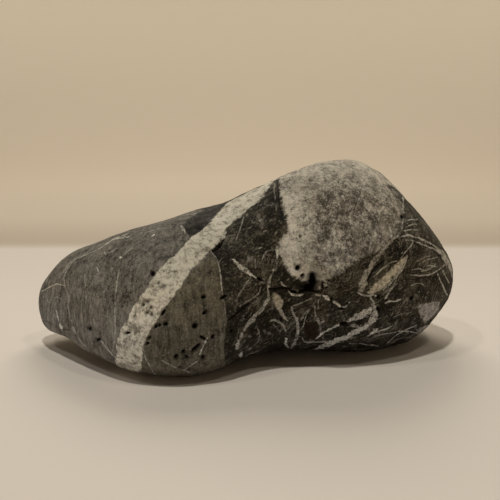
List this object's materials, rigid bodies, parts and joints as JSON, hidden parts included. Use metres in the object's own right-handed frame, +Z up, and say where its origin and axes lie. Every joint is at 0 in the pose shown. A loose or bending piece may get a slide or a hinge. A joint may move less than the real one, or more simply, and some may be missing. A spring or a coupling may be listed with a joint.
{
  "type": "river pebble",
  "caption": "Water-worn limestone pebble: a long low lobe and a high dome joined by a hollow waist, with solution pits, a crevice under the dome and a worn underside.",
  "frame": {"origin": "middle of the stone's bounding box, on the plane it rests on", "axes": "+X along the stone from its pointed tip to its blunt domed end, +Y from the veined face to the back, +Z up"},
  "size_m": [0.1082, 0.0594, 0.0475],
  "materials": {
    "limestone": "dry, matt, water-worn"
  },
  "bodies": {
    "root": {"pebble": "limestone"}
  },
  "joints": []
}
